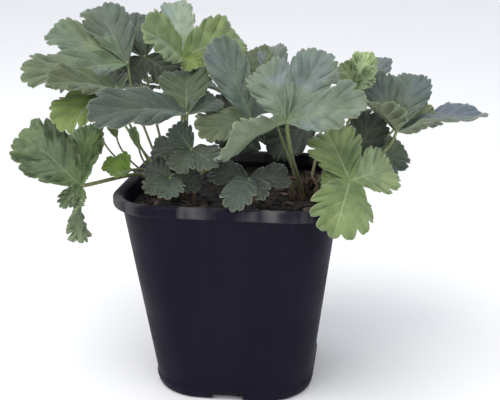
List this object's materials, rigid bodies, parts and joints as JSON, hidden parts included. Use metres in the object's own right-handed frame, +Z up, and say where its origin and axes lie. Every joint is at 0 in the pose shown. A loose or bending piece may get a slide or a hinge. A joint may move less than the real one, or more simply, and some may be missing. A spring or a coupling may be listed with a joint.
{
  "type": "potted strawberry plant",
  "caption": "Leafy strawberry plant with toothed compound leaves on thin stalks, growing from woody crowns in a dark, square, round-cornered nursery pot filled with potting soil.",
  "frame": {"origin": "centre of the pot's base, on the surface that it stands on", "axes": "+Z up, +X to the right of the pot's front wall, which faces -Y"},
  "size_m": [0.3041, 0.194, 0.253],
  "materials": {
    "pot": "satin",
    "soil": "rough, moist",
    "crown": "rough",
    "leaf_mid": "softly hairy, slightly glossy",
    "leaf_yellow": "softly hairy, slightly glossy",
    "leaf_grey": "softly hairy, slightly glossy",
    "leaf_bright": "softly hairy, slightly glossy"
  },
  "bodies": {
    "root": {"pot": "pot", "soil": "soil", "crown_left": "crown", "crown_right": "crown", "frond_high_left": "leaf_mid", "frond_mid_left": "leaf_yellow", "frond_behind_left": "leaf_mid", "frond_top": "leaf_yellow", "frond_centre": "leaf_grey", "frond_inner_left": "leaf_mid", "frond_front": "leaf_grey", "frond_right": "leaf_grey", "frond_young_ruffled": "leaf_yellow", "frond_low_right": "leaf_mid", "frond_front_right": "leaf_bright", "frond_front_low": "leaf_grey", "frond_front_left": "leaf_mid", "frond_low_left": "leaf_grey", "frond_far_left": "leaf_mid", "frond_vivid": "leaf_bright", "young_leaf_hanging": "leaf_bright", "young_leaf_folded": "leaf_yellow", "young_leaf_low": "leaf_yellow", "frond_edge_centre": "leaf_grey", "frond_edge_right": "leaf_grey", "frond_back_left": "leaf_mid", "frond_back_mid_left": "leaf_mid", "frond_back_middle": "leaf_mid", "frond_back_right": "leaf_mid", "frond_back_far_right": "leaf_mid"}
  },
  "joints": []
}
